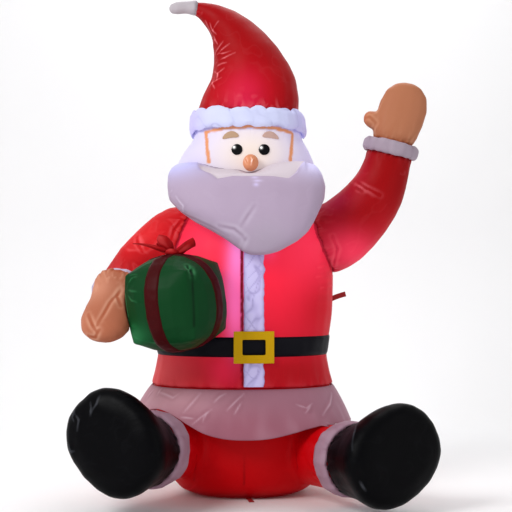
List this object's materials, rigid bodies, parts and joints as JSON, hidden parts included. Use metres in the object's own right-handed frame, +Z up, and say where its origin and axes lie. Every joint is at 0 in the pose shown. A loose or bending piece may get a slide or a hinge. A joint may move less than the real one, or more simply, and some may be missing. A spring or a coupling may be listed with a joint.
{
  "type": "inflatable santa",
  "caption": "Seated inflatable garden santa in sewn nylon, one arm waving and the other round a gift box, boots forward, fan in the seat's back.",
  "frame": {"origin": "on the floor under the middle of the trunk", "axes": "+Z up from floor to hat, -Y the way the figure faces, +X towards the waving arm"},
  "size_m": [0.8328, 0.6441, 1.1968],
  "materials": {
    "red_fabric": "thin coated nylon, soft sheen",
    "white_fabric": "thin white nylon, soft sheen",
    "beard_fabric": "thin white nylon in shade, lavender grey",
    "hem_fabric": "sheer white nylon over red",
    "black_fabric": "thin black nylon, soft sheen",
    "skin_fabric": "thin tan nylon, soft sheen",
    "green_fabric": "thin dark green nylon, soft sheen",
    "ribbon_fabric": "dark red nylon strip",
    "buckle_fabric": "matt gold felt",
    "brow_fabric": "tan print on nylon",
    "webbing": "woven red webbing",
    "blower_plastic": "moulded black plastic"
  },
  "bodies": {
    "root": {"trousers": "red_fabric", "jacket": "red_fabric", "hat": "red_fabric", "waving_sleeve": "red_fabric", "carrying_sleeve": "red_fabric", "placket_upper": "white_fabric", "placket_lower": "white_fabric", "head": "white_fabric", "hat_tip": "white_fabric", "hat_band": "white_fabric", "waving_cuff": "white_fabric", "carrying_cuff": "white_fabric", "boot_cuff_left": "white_fabric", "boot_cuff_right": "white_fabric", "beard": "beard_fabric", "jacket_hem": "hem_fabric", "belt": "black_fabric", "eye_left": "black_fabric", "eye_right": "black_fabric", "boot_left": "black_fabric", "boot_right": "black_fabric", "nose": "skin_fabric", "waving_mitten": "skin_fabric", "carrying_mitten": "skin_fabric", "gift_box": "green_fabric", "gift_ribbon": "ribbon_fabric", "gift_bow": "ribbon_fabric", "belt_buckle": "buckle_fabric", "brow_left": "brow_fabric", "brow_right": "brow_fabric", "tether_tab_left": "webbing", "tether_tab_right": "webbing", "tether_tab_front": "webbing", "tether_tab_back": "webbing", "blower": "blower_plastic", "blower_grille": "blower_plastic", "cord_gland": "blower_plastic"}
  },
  "joints": []
}
